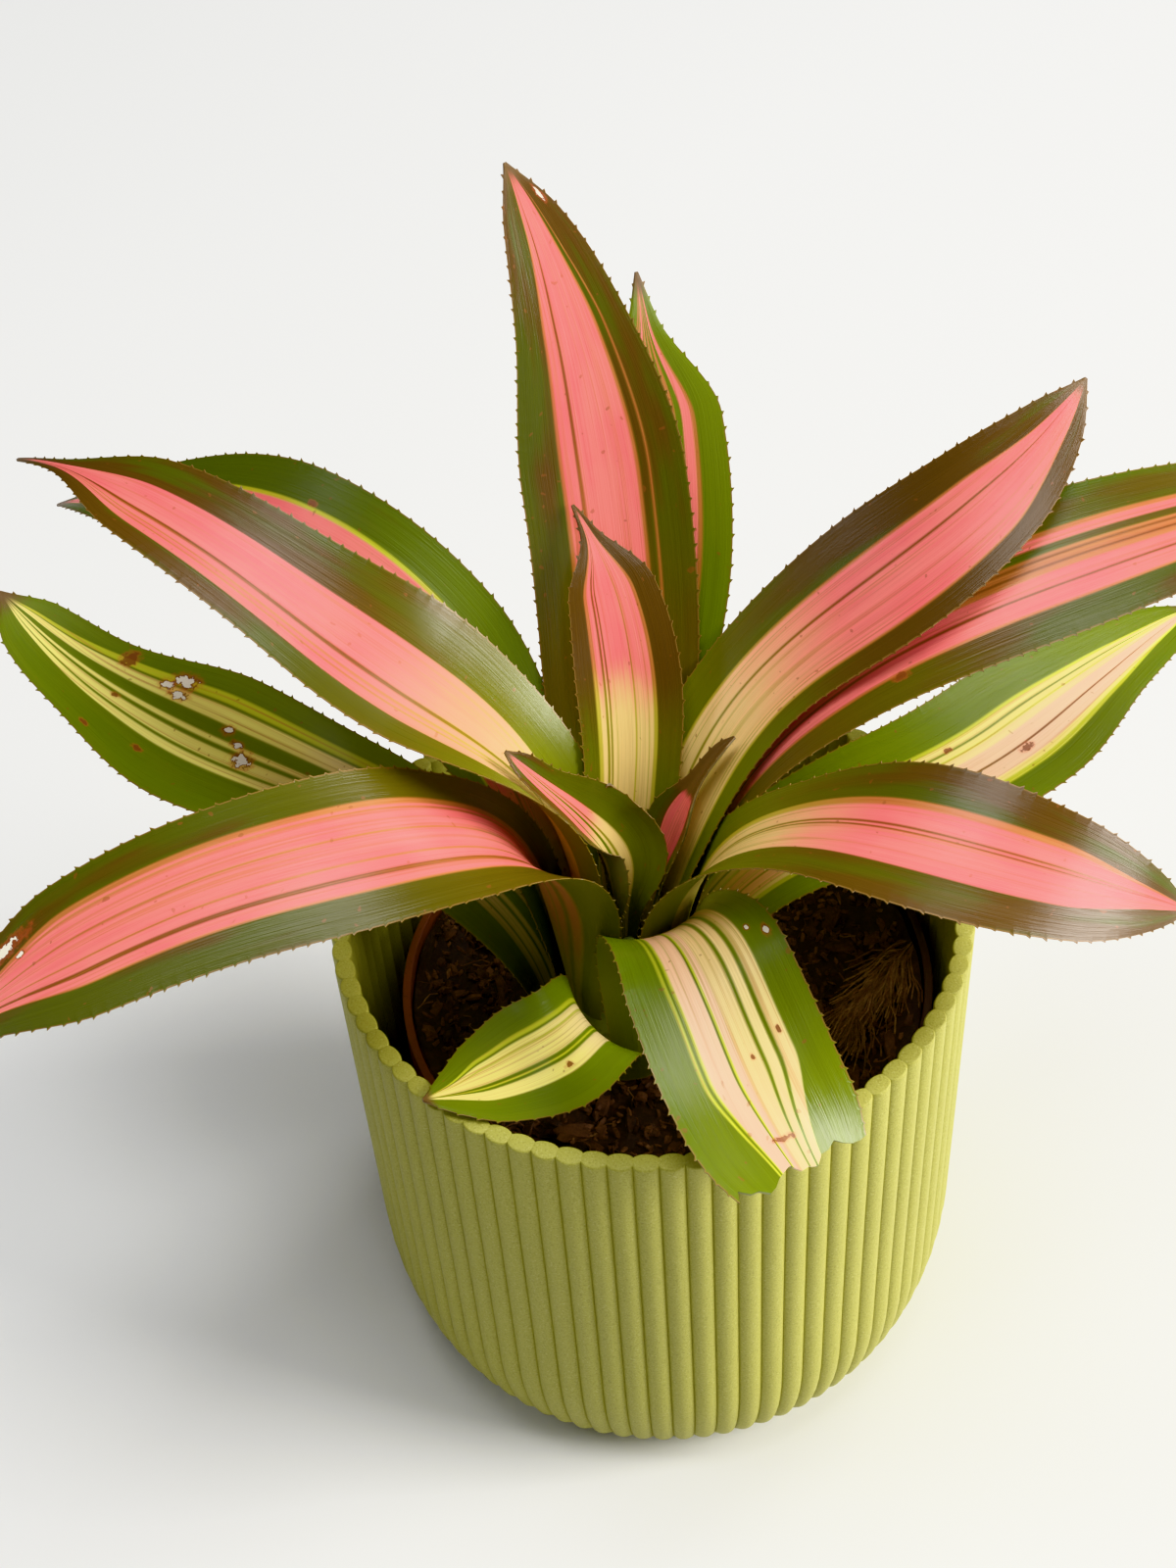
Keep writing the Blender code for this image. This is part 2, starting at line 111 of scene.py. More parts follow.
class Painter:
    """One material, and the nodes added to it."""

    def __init__(self, name: str) -> None:
        """Starts a material with its Principled shader."""
        self.material = bpy.data.materials.new(name)
        self.material.use_nodes = True
        self.tree = self.material.node_tree
        self.shader = self.tree.nodes["Principled BSDF"]

    def node(self, kind: str, settings: dict[str, Any] | None = None,
             values: dict[Any, Any] | None = None, output: int | str = 0) -> Signal:
        """Adds a node.

        Args:
            kind: the node's type name.
            settings: its properties, with "stops" as a colour ramp's (place, colour) pairs.
            values: numbers, colours or signals by socket name or number.
            output: the output wanted.

        Returns:
            That output.
        """
        made = self.tree.nodes.new(kind)
        for key, setting in (settings or {}).items():
            if key == "stops":
                self.set_stops(made.color_ramp, setting)
            else:
                setattr(made, key, setting)
        for key, value in (values or {}).items():
            self.feed(made.inputs[key], value)
        return Signal(self, made.outputs[output])

    @staticmethod
    def set_stops(ramp: bpy.types.ColorRamp, stops: Sequence[tuple[float, Colour]]) -> None:
        """Gives a colour ramp its stops."""
        while len(ramp.elements) > 1:
            ramp.elements.remove(ramp.elements[-1])
        ramp.elements[0].position = stops[0][0]
        ramp.elements[0].color = (*stops[0][1], 1.0)
        for place, colour in stops[1:]:
            ramp.elements.new(place).color = (*colour, 1.0)

    def feed(self, socket: bpy.types.NodeSocket, value: Any) -> None:
        """Links a signal to a socket, or sets its value."""
        if isinstance(value, Signal):
            self.tree.links.new(value.socket, socket)
        elif isinstance(value, tuple) and socket.type == "RGBA":
            socket.default_value = (*value, 1.0)
        else:
            socket.default_value = value

    def blend(self, below: Any, above: Any, amount: Any, kind: str = "MIX") -> Signal:
        """Lays one colour over another.

        Args:
            below: the colour underneath.
            above: the colour on top.
            amount: how much of it shows, from 0 to 1.
            kind: the blend type.

        Returns:
            The mixed colour.
        """
        return self.node("ShaderNodeMix", {"data_type": "RGBA", "blend_type": kind, "clamp_factor": True},
                         {0: amount, 6: below, 7: above}, 2)

    def ramp(self, factor: Signal, stops: Sequence[tuple[float, Colour]]) -> Signal:
        """Colours from a factor, through stops."""
        return self.node("ShaderNodeValToRGB", {"stops": stops}, {0: factor})

    def grain(self, vector: Signal, scale: float, detail: float = 2.0, rough: float = 0.5) -> Signal:
        """Noise from 0 to 1 at a scale in the vector's units."""
        return self.node("ShaderNodeTexNoise", {}, {"Vector": vector, "Scale": scale, "Detail": detail,
                                                    "Roughness": rough})

    def vector(self, x: Any, y: Any, z: Any) -> Signal:
        """Three values as a vector."""
        return self.node("ShaderNodeCombineXYZ", {}, {0: x, 1: y, 2: z})

    def object_place(self) -> Signal:
        """The point's own place on the object, in metres."""
        return self.node("ShaderNodeTexCoord", {}, {}, "Object")

    def finish(self, colour: Any, roughness: Any, height: Signal | None = None, depth: float = 0.1,
               strength: float = 1.0, **sockets: float) -> bpy.types.Material:
        """Feeds the shader.

        Args:
            colour: the base colour.
            roughness: the roughness.
            height: a relief from 0 to 1.
            depth: what 1 in the relief measures, in millimetres.
            strength: how strongly the relief shows.
            sockets: constant values for other sockets, with _ for a space in their names.

        Returns:
            The finished material.
        """
        self.feed(self.shader.inputs["Base Color"], colour)
        self.feed(self.shader.inputs["Roughness"], roughness)
        if height is not None:
            bump = self.node("ShaderNodeBump", {}, {"Strength": strength, "Distance": depth * MM, "Height": height})
            self.feed(self.shader.inputs["Normal"], bump)
        for name, value in sockets.items():
            self.feed(self.shader.inputs[name.replace("_", " ")], value)
        return self.material


class Band(Enum):
    """What a lengthwise stripe of a leaf is made of."""

    MARGIN = 0
    PINK = 1
    CREAM = 2
    TAN = 3
    LINE = 4
    GREEN = 5
    LIME = 6
    PALE = 7
    ROSE = 8


MARGIN, PINK, CREAM, TAN, LINE, GREEN, LIME, PALE, ROSE = Band

OUTER: dict[Band, Colour] = {
    MARGIN: (0.125, 0.090, 0.008), PINK: (0.96, 0.26, 0.225), CREAM: (0.97, 0.82, 0.34), TAN: (0.52, 0.21, 0.07),
    LINE: (0.24, 0.09, 0.02), GREEN: (0.150, 0.215, 0.004), LIME: (0.56, 0.60, 0.05), PALE: (0.94, 0.86, 0.24),
    ROSE: (0.99, 0.71, 0.44)}
INNER: dict[Band, Colour] = {
    MARGIN: (0.14, 0.165, 0.004), PINK: (0.94, 0.70, 0.28), CREAM: (0.96, 0.64, 0.29), TAN: (0.58, 0.50, 0.08),
    LINE: (0.27, 0.25, 0.02), GREEN: (0.145, 0.215, 0.004), LIME: (0.50, 0.54, 0.05), PALE: (0.90, 0.72, 0.34),
    ROSE: (0.98, 0.58, 0.33)}
DARK: dict[Band, Colour] = {band: (1.0, 1.0, 1.0) if band in (MARGIN, GREEN) else (0.0, 0.0, 0.0) for band in Band}
DRY_TIP: Colour = (0.15, 0.085, 0.03)
SPINE_BROWN: Colour = (0.26, 0.15, 0.05)
SCURF: Colour = (0.30, 0.25, 0.15)
SHEATH: Colour = (0.15, 0.17, 0.01)


@dataclass(frozen=True)
class Scar:
    """A dead spot or hole bitten in a leaf: its place by share and side, its half sizes in mm."""

    share: float
    side: float
    long: float
    wide: float
    pale: bool = True


@dataclass(frozen=True)
class Leaf:
    """One leaf: its bend, as in the solid it stands for, and the stripes on it.

    seat is the base's radius on the stock; rise, turn, roll, half_width and dish follow the
    stations of LeafMaker. bands run from side 1 to side -1, each with the side where it ends.
    blush is the share of the length over which the pale base takes its full colour, and dry the
    share past which the tip has withered. brown is how much of the margins has turned brown.
    """

    name: str
    seat: float
    azimuth: float
    length: float
    rise: tuple[float, ...]
    turn: tuple[float, ...]
    roll: tuple[float, ...]
    half_width: tuple[float, ...]
    bands: tuple[tuple[Band, float], ...]
    blush: tuple[float, float] = (0.3, 0.6)
    dish: tuple[float, ...] = (20.0, 14.0, 8.0)
    end: float = 0.4
    dry: float = 0.955
    brown: float = 0.4
    slot: str = "leaf_pink"
    scars: tuple[Scar, ...] = ()


LEAVES: tuple[Leaf, ...] = (
    Leaf("leaf_curl_front", 3.0, 106, 70, (88, 97, 68, 61, 54), (16, 90, 64), (4, -29, -30),
         (3, 6, 13, 9, 4.5, 3),
         ((MARGIN, 0.6), (PINK, 0.36), (GREEN, 0.31), (PINK, 0.12), (GREEN, 0.05), (PINK, -0.02), (LINE, -0.07),
          (PINK, -0.28), (MARGIN, -1)), blush=(0.5, 0.62), brown=0.2, dish=(60, 50, 40)),
    Leaf("leaf_core", 4.2, 100, 46, (84, 74, 72, 80, 120), (0, 0, 0), (0, 0, 0),
         (2.5, 2.5, 3, 4.5, 4, 2.5), ((MARGIN, 0.5), (TAN, 0.2), (LINE, -1)), dish=(35, 60, 60), slot="leaf_green"),
    Leaf("leaf_curl_right", 5.4, 34, 59, (88, 79, 67, 61, 38), (1, -1, -16), (0, 1, -10),
         (3, 3.5, 5, 7, 2.5, 2), ((MARGIN, 0.45), (PINK, -0.5), (GREEN, -1)), blush=(0.2, 0.5), dish=(40, 60, 60),
         dry=0.7),
    Leaf("leaf_centre_young", 6.6, 85, 104, (88, 72, 62, 50, 18), (-14, 8, 33), (12, -7, -14),
         (4, 10, 10.5, 11.5, 9.5, 2),
         ((MARGIN, 0.66), (TAN, 0.58), (PINK, 0.49), (LINE, 0.44), (PINK, 0.42), (LINE, 0.38), (PINK, -0.07),
          (TAN, -0.08), (PINK, -0.42), (TAN, -0.5), (MARGIN, -1)), blush=(0.52, 0.66), brown=0.9),
    Leaf("leaf_right_upper", 7.8, 39, 166, (88, 61, 36, 31, 20), (6, -24, 13), (-7, 8, 34),
         (8, 12, 14.5, 17.5, 13, 6.5),
         ((MARGIN, 0.48), (TAN, 0.44), (PINK, 0.15), (LINE, 0.11), (PINK, -0.66), (TAN, -0.7), (MARGIN, -1)),
         blush=(0.32, 0.6), brown=0.75),
    Leaf("leaf_left_upper", 9.0, 146, 202, (88, 76, 36, 17, -25), (14, -1, -8), (19, -14, 3),
         (9, 16, 19.5, 14, 10.5, 2),
         ((MARGIN, 0.65), (PINK, 0.52), (TAN, 0.505), (PINK, 0.44), (TAN, 0.425), (PINK, 0.33), (LINE, 0.26),
          (PINK, -0.34), (MARGIN, -1)), blush=(0.26, 0.52), brown=0.45),
    Leaf("leaf_back_tall", 10.0, 89, 177, (88, 56, 52, 49, 39), (-7, 8, 32), (12, -10, -1),
         (7, 14, 17.5, 18, 12, 6.5),
         ((MARGIN, 0.51), (TAN, 0.46), (PINK, 0.31), (LINE, 0.26), (PINK, -0.39), (TAN, -0.44), (MARGIN, -0.54),
          (TAN, -0.575), (MARGIN, -1)), blush=(0.15, 0.35), brown=0.3, scars=(Scar(0.95, -0.75, 1.5, 1.0),)),
    Leaf("leaf_right_front", 11.0, 340, 165, (85, 75, 41, -4, -45), (-6, -5, 43), (-8, 5, 52),
         (10, 13.5, 14, 17.5, 13, 6),
         ((MARGIN, 0.49), (TAN, 0.38), (PINK, 0.13), (LINE, 0.09), (PINK, 0.06), (LINE, 0.035), (PINK, -0.46),
          (MARGIN, -1)), blush=(0.36, 0.56), brown=0.5),
    Leaf("leaf_left_front", 12.0, 192, 191, (85, 79, 24, -6, -26), (13, 3, 13), (8, -32, -9),
         (10, 17.5, 17.5, 16, 14, 5.5),
         ((MARGIN, 0.53), (TAN, 0.5), (PINK, 0.36), (LINE, 0.29), (PINK, 0.15), (TAN, 0.13), (PINK, -0.18),
          (TAN, -0.2), (PINK, -0.46), (TAN, -0.49), (PINK, -0.52), (TAN, -0.6), (MARGIN, -1)),
         blush=(0.05, 0.2), brown=0.0, scars=(Scar(0.87, -0.70, 5, 1.1), Scar(0.85, -0.45, 0.9, 0.5))),
    Leaf("leaf_right_behind", 13.0, 29, 213, (85, 61, 29, 9, -11), (-4, -17, -3), (-17, 21, 9),
         (11, 11, 17, 16.5, 13.5, 5),
         ((GREEN, 0.49), (TAN, 0.42), (PINK, 0.3), (GREEN, 0.2), (TAN, 0.15), (LINE, 0.12), (TAN, 0.05), (LINE, 0.02),
          (TAN, -0.06), (PINK, -0.24), (LINE, -0.28), (PINK, -0.5), (TAN, -0.54), (MARGIN, -1)),
         blush=(0.1, 0.3), brown=0.35, scars=(Scar(0.45, -0.57, 1.2, 0.6, False),)),
    Leaf("leaf_left_behind", 14.0, 131, 212, (85, 59, 25, -7, -33), (-5, 9, 11), (-1, -28, 4),
         (12, 12.5, 17, 17, 11.5, 5),
         ((GREEN, 0.6), (LIME, 0.56), (PINK, 0.2), (LINE, 0.16), (PINK, -0.42), (LIME, -0.48), (GREEN, -1)),
         blush=(0.1, 0.3), brown=0.0, scars=(Scar(0.6, -0.52, 0.8, 0.4, False),)),
    Leaf("leaf_back_green", 15.0, 80, 153, (85, 64, 54, 50, 51), (-5, 0, 17), (1, 2, 5),
         (12, 14, 15.5, 18, 15.5, 3.5),
         ((GREEN, 0.6), (TAN, 0.5), (GREEN, 0.44), (TAN, 0.3), (GREEN, 0.24), (PINK, 0.1), (GREEN, 0.05),
          (TAN, -0.05), (GREEN, -0.12), (TAN, -0.2), (GREEN, -0.27), (TAN, -0.35), (GREEN, -0.44),
          (PINK, -0.57), (TAN, -0.63), (GREEN, -1)), slot="leaf_green"),
    Leaf("leaf_front_bent", 16.0, 304, 110, (88, 96, 50, -18, -25), (-3, -17, -3), (-12, 20, -19),
         (13, 13.5, 14, 17.5, 18, 19),
         ((GREEN, 0.58), (CREAM, 0.42), (GREEN, 0.36), (CREAM, 0.24), (GREEN, 0.19), (CREAM, -0.03),
          (ROSE, -0.13), (LIME, -0.145), (GREEN, -0.165), (ROSE, -0.43), (LIME, -0.46), (GREEN, -0.5),
          (LIME, -0.54), (GREEN, -1)), end=18.0, slot="leaf_cream", blush=(0.4, 0.8),
         scars=(Scar(0.58, 0.86, 0.9, 0.5), Scar(0.555, 0.68, 0.5, 0.4), Scar(0.74, 0.5, 0.8, 0.3, False),
                Scar(0.77, 0.11, 0.5, 0.3, False), Scar(0.93, 0.0, 0.6, 1.6, False))),
    Leaf("leaf_right_low", 17.0, 27, 170, (80, 38, 5, -4, -10), (-17, 12, 13), (7, 8, 5),
         (13, 14, 16.5, 17.5, 11, 6.5),
         ((GREEN, 0.42), (LIME, 0.36), (PALE, 0.27), (GREEN, 0.24), (PALE, 0.16), (LIME, 0.13), (CREAM, 0.02),
          (ROSE, -0.19), (LINE, -0.21), (ROSE, -0.42), (PALE, -0.5), (LIME, -0.58), (GREEN, -1)),
         slot="leaf_cream", scars=(Scar(0.595, -0.28, 1.3, 0.6, False), Scar(0.505, 0.28, 0.9, 0.4, False))),
    Leaf("leaf_left_striped", 18.0, 151, 173, (80, 44, 11, 1, 17), (6, -6, -22), (-2, -5, -5),
         (14, 14, 16, 19, 12, 8),
         ((GREEN, 0.36), (PALE, 0.24), (GREEN, 0.2), (PALE, 0.03), (GREEN, -0.03), (PALE, -0.11), (GREEN, -0.31),
          (PALE, -0.53), (GREEN, -0.57), (LIME, -0.7), (GREEN, -1)), slot="leaf_cream",
         scars=(Scar(0.545, 0.05, 2.0, 1.2), Scar(0.565, -0.12, 1.2, 0.6), Scar(0.59, -0.25, 1.2, 0.7),
                Scar(0.685, -0.43, 1.8, 0.9), Scar(0.71, -0.52, 1.6, 0.9), Scar(0.69, -0.66, 2.6, 1.2),
                Scar(0.76, 0.05, 0.9, 0.5, False), Scar(0.785, -0.7, 1.5, 1.8, False),
                Scar(0.675, 0.56, 1.0, 0.4, False), Scar(0.76, 0.8, 1.0, 0.4, False))),
    Leaf("leaf_front_small", 19.0, 249, 69, (88, 88, 28, 10, 11), (7, -32, -55), (-37, -12, 6),
         (13, 12.5, 12.5, 14, 11, 5),
         ((GREEN, 0.42), (PALE, 0.17), (GREEN, 0.11), (LIME, 0.09), (GREEN, 0.02), (PALE, -0.31), (LIME, -0.34),
          (PALE, -0.45), (GREEN, -0.49), (LIME, -0.57), (GREEN, -1)), slot="leaf_cream",
         scars=(Scar(0.54, 0.3, 0.8, 0.4, False),)),
)


class Workshop:
    """The few modelling steps that every piece shares."""

    @staticmethod
    def clear_choice() -> None:
        """Selects nothing, in object mode."""
        if bpy.context.mode != "OBJECT":
            bpy.ops.object.mode_set(mode="OBJECT")
        bpy.ops.object.select_all(action="DESELECT")

    @staticmethod
    def choose(piece: bpy.types.Object) -> None:
        """Makes one object the only one selected, and active."""
        Workshop.clear_choice()
        piece.select_set(True)
        bpy.context.view_layer.objects.active = piece

    @staticmethod
    def named(name: str) -> bpy.types.Object:
        """Names the object just added, and its mesh."""
        piece = bpy.context.active_object
        piece.name = name
        piece.data.name = name
        return piece

    @staticmethod
    def settle(piece: bpy.types.Object) -> None:
        """Applies the object's place to its mesh, so that it sits at the origin."""
        Workshop.choose(piece)
        bpy.ops.object.transform_apply(location=True, rotation=True, scale=True)

    @staticmethod
    def apply(piece: bpy.types.Object, kind: str, **settings: Any) -> None:
        """Adds a modifier with its settings, and applies it.

        Args:
            piece: the object.
            kind: the modifier's type.
            settings: its properties.
        """
        Workshop.choose(piece)
        step = piece.modifiers.new(kind.lower(), kind)
        for key, value in settings.items():
            setattr(step, key, value)
        bpy.ops.object.modifier_apply(modifier=step.name)

    @staticmethod
    def smooth(piece: bpy.types.Object, degrees: float) -> None:
        """Smooth shading, with edges sharper than an angle kept."""
        Workshop.choose(piece)
        bpy.ops.object.shade_smooth_by_angle(angle=math.radians(degrees))

    @staticmethod
    def tidy(piece: bpy.types.Object) -> None:
        """Merges doubles and turns the normals outwards."""
        Workshop.choose(piece)
        bpy.ops.object.mode_set(mode="EDIT")
        bpy.ops.mesh.select_all(action="SELECT")
        bpy.ops.mesh.remove_doubles(threshold=0.000005)
        bpy.ops.mesh.normals_make_consistent(inside=False)
        bpy.ops.object.mode_set(mode="OBJECT")

    @staticmethod
    def turned(name: str, outline: Sequence[tuple[float, float]], sides: int) -> bpy.types.Object:
        """A turned shell: a circle extruded and resized ring by ring.

        Args:
            name: the piece's name.
            outline: (radius, height) of each ring, in millimetres.
            sides: points round each ring.

        Returns:
            The open shell.
        """
        Workshop.clear_choice()
        radius, height = outline[0]
        bpy.ops.mesh.primitive_circle_add(vertices=sides, radius=radius * MM, location=(0, 0, height * MM))
        piece = Workshop.named(name)
        bpy.ops.object.transform_apply(location=True)
        bpy.ops.object.mode_set(mode="EDIT")
        bpy.ops.mesh.select_all(action="SELECT")
        for (old, high), (new, low) in zip(outline, outline[1:]):
            bpy.ops.mesh.extrude_region_move(TRANSFORM_OT_translate={"value": (0, 0, (low - high) * MM)})
            scale = new / old
            bpy.ops.transform.resize(value=(scale, scale, 1), center_override=(0, 0, low * MM))
        bpy.ops.object.mode_set(mode="OBJECT")
        return piece

    @staticmethod
    def hand_over(piece: bpy.types.Object, node: str | None, slot: str) -> None:
        """Seats a finished piece in the frame.

        Args:
            piece: the object.
            node: the solid that it stands for, if any.
            slot: the material slot of the record; not used.
        """
        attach(piece, "root")
        if node:
            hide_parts(node)
        log.info("%s: %d faces", piece.name, len(piece.data.polygons))


def points_of(piece: bpy.types.Object) -> np.ndarray:
    """The object's points as an array, in metres."""
    flat = np.empty(len(piece.data.vertices) * 3)
    piece.data.vertices.foreach_get("co", flat)
    return flat.reshape(-1, 3)


def put_points(piece: bpy.types.Object, points: np.ndarray) -> None:
    """Moves the object's points to an array of places, in metres."""
    piece.data.vertices.foreach_set("co", points.ravel())
    piece.data.update()


@dataclass
class LeafMaker:
    """Bends a fine grid into each leaf, with its spines, and paints the stripes on it."""

    stock_foot: tuple[float, float, float] = (-8.0, -5.0, 97.0)
    stock_lean: float = 0.12
    stock_radius: float = 19.0
    stock_slope: float = 1.25
    rise_at: tuple[float, ...] = (0.0, 0.2, 0.4, 0.65, 1.0)
    turn_at: tuple[float, ...] = (0.0, 0.25, 0.6, 1.0)
    width_at: tuple[float, ...] = (0.0, 0.2, 0.4, 0.6, 0.8, 0.93, 1.0)
    dish_at: tuple[float, ...] = (0.0, 0.35, 1.0)
    largest_bend: float = math.radians(100.0)
    columns: int = 18
    spine_pitch: float = 3.1
    spine_rows: tuple[float, ...] = (0.0, 0.14, 0.28, 0.64)
    spine_height: float = 0.62
    spine_forward: float = 0.42
    thickness: float = 0.62
    steps: int = 480

    @staticmethod
    def curve(stations: Sequence[float], values: Sequence[float], at: np.ndarray, level: bool = False) -> np.ndarray:
        """Values between the stations, on a smooth curve through them.

        Args:
            stations: where the values stand.
            values: the values.
            at: where they are wanted.
            level: whether the curve may never swing past the values it joins.

        Returns:
            The values there.
        """
        places, levels = np.asarray(stations, float), np.asarray(values, float)
        spans = np.diff(places)
        slopes = np.diff(levels) / spans
        tangents = np.concatenate([slopes[:1], slopes[:-1], slopes[-1:]])
        inner = (slopes[:-1] * spans[1:] + slopes[1:] * spans[:-1]) / (spans[:-1] + spans[1:])
        if level:
            same = slopes[:-1] * slopes[1:] > 0
            near, far = 2 * spans[1:] + spans[:-1], spans[1:] + 2 * spans[:-1]
            safe = np.where(same, slopes[:-1], 1.0), np.where(same, slopes[1:], 1.0)
            inner = np.where(same, (near + far) / (near / safe[0] + far / safe[1]), 0.0)
        tangents[1:-1] = inner
        cell = np.clip(np.searchsorted(places, at) - 1, 0, len(spans) - 1)
        span = spans[cell]
        share = (at - places[cell]) / span
        rest = 1 - share
        return ((1 + 2 * share) * rest**2 * levels[cell] + share * rest**2 * span * tangents[cell]
                + (3 - 2 * share) * share**2 * levels[cell + 1] - rest * share**2 * span * tangents[cell + 1])

    def surface(self, leaf: Leaf, share: np.ndarray, side: np.ndarray) -> np.ndarray:
        """Points of a leaf's middle surface.

        Args:
            leaf: the leaf.
            share: shares of its length.
            side: places across it, from -1 to 1.

        Returns:
            The points, in millimetres.
        """
        at = np.linspace(0, 1, self.steps + 1)
        rises = np.radians(self.curve(self.rise_at, leaf.rise, at))
        headings = np.radians(leaf.azimuth + self.curve(self.turn_at, (0.0, *leaf.turn), at))
        ahead = np.stack([np.cos(rises) * np.cos(headings), np.cos(rises) * np.sin(headings), np.sin(rises)], 1)
        base = self.stock_foot[2] + (self.stock_radius - leaf.seat) * self.stock_slope
        lean = self.stock_lean * (base - self.stock_foot[2])
        axis = np.array([self.stock_foot[0] + lean, self.stock_foot[1] + lean, base])
        out = math.radians(leaf.azimuth)
        start = axis + leaf.seat * np.array([math.cos(out), math.sin(out), 0.0])
        moves = (ahead[1:] + ahead[:-1]) / 2 * leaf.length / self.steps
        path = start + np.concatenate([np.zeros((1, 3)), np.cumsum(moves, axis=0)])
        centre = np.stack([np.interp(share, at, path[:, k]) for k in range(3)], 1)
        rise, heading = np.interp(share, at, rises), np.interp(share, at, headings)
        along = np.stack([np.cos(rise) * np.cos(heading), np.cos(rise) * np.sin(heading), np.sin(rise)], 1)
        across = np.stack([-np.sin(heading), np.cos(heading), np.zeros(len(share))], 1)
        upper = np.cross(along, across)
        roll = np.radians(self.curve(self.turn_at, (0.0, *leaf.roll), share))[:, None]
        across, upper = (across * np.cos(roll) + upper * np.sin(roll), upper * np.cos(roll) - across * np.sin(roll))
        half = self.curve(self.width_at, (*leaf.half_width, leaf.end), share, level=True)
        away = np.maximum(np.hypot(centre[:, 0] - axis[0], centre[:, 1] - axis[1]), leaf.seat)
        dish = np.radians(np.interp(share, self.dish_at, leaf.dish))
        bend = np.minimum(np.maximum(half * np.abs(np.sin(rise)) / away, dish), self.largest_bend)
        return (centre + across * (half * np.sin(bend * side) / bend)[:, None]
                + upper * (half * (1 - np.cos(bend * side)) / bend)[:, None])

    def build(self, leaf: Leaf) -> bpy.types.Object:
        """Models one leaf.

        Args:
            leaf: the leaf.

        Returns:
            The closed, thin-edged blade with its spines.
        """
        random = np.random.default_rng(len(leaf.name) * 100 + int(leaf.length))
        each, spines = len(self.spine_rows), round(leaf.length / self.spine_pitch)
        Workshop.clear_choice()
        bpy.ops.mesh.primitive_grid_add(x_subdivisions=each * spines, y_subdivisions=self.columns, size=2.0,
                                        calc_uvs=True)
        piece = Workshop.named(leaf.name + "_blade")
        flat = points_of(piece)
        row = np.rint((flat[:, 0] + 1) / 2 * each * spines).astype(int)
        share = np.minimum((row // each + np.asarray(self.spine_rows)[row % each]) / spines, 1.0)
        side = np.clip(flat[:, 1], -1, 1)
        self.spread(piece, share, side)
        ends = np.interp(share, (0.9, 1.0), (0.0, 1.0)) * (leaf.end > 5.0)
        ragged = 0.012 * np.sin(side * 9.0) + 0.006 * np.sin(side * 31.0 + 1.0) - 0.012
        points = self.surface(leaf, np.clip(share + ends * ragged, 0, 1), side)
        inner = self.surface(leaf, share, side * 0.85)
        margin = np.abs(side) > 0.999
        tips = margin & (row % each == 1) & (share < 0.985)
        ahead = self.surface(leaf, np.minimum(share + 0.004, 1), side) - self.surface(leaf, share - 0.004, side)
        ahead /= np.linalg.norm(ahead, axis=1)[:, None]
        outward = points - inner
        outward -= ahead * np.sum(outward * ahead, axis=1)[:, None]
        outward /= np.maximum(np.linalg.norm(outward, axis=1), 1e-6)[:, None]
        size = random.uniform(0.5, 1.1, len(share))[:, None]
        points = np.where(tips[:, None], points + size * (outward * self.spine_height + ahead * self.spine_forward),
                          points)
        put_points(piece, points * MM)
        thin = piece.vertex_groups.new(name="thickness")
        for low, high, weight in ((0.0, 0.8, 1.0), (0.8, 0.96, 0.7), (0.96, 1.1, 0.3)):
            chosen = np.flatnonzero((np.abs(side) >= low) & (np.abs(side) < high))
            thin.add([int(n) for n in chosen], weight, "REPLACE")
        upper_count = len(flat)
        Workshop.apply(piece, "SOLIDIFY", thickness=self.thickness * MM, offset=0.0, vertex_group="thickness")
        back = piece.data.attributes.new("underside", "FLOAT", "POINT")
        back.data.foreach_set("value", (np.arange(len(piece.data.vertices)) >= upper_count).astype(float))
        Workshop.smooth(piece, 60)
        piece.data.materials.clear()
        piece.data.materials.append(self.paint(leaf))
        return piece

    @staticmethod
    def spread(piece: bpy.types.Object, share: np.ndarray, side: np.ndarray) -> None:
        """Lays the UV map out by the share of the length and the place across."""
        corners = np.empty(len(piece.data.loops), int)
        piece.data.loops.foreach_get("vertex_index", corners)
        places = np.stack([share[corners], (side[corners] + 1) / 2], 1)
        piece.data.uv_layers[0].uv.foreach_set("vector", places.ravel())

    @staticmethod
    def stops(leaf: Leaf, colours: dict[Band, Colour]) -> list[tuple[float, Colour]]:
        """A leaf's bands as colour ramp stops, from side -1 at 0 to side 1 at 1, with soft edges."""
        soft = 0.008
        bands = list(reversed(leaf.bands))
        made = [(0.0, colours[bands[0][0]])]
        for (band, _), (above, edge) in zip(bands, bands[1:]):
            place = (edge + 1) / 2
            made += [(place - soft, colours[band]), (place + soft, colours[above])]
        return made

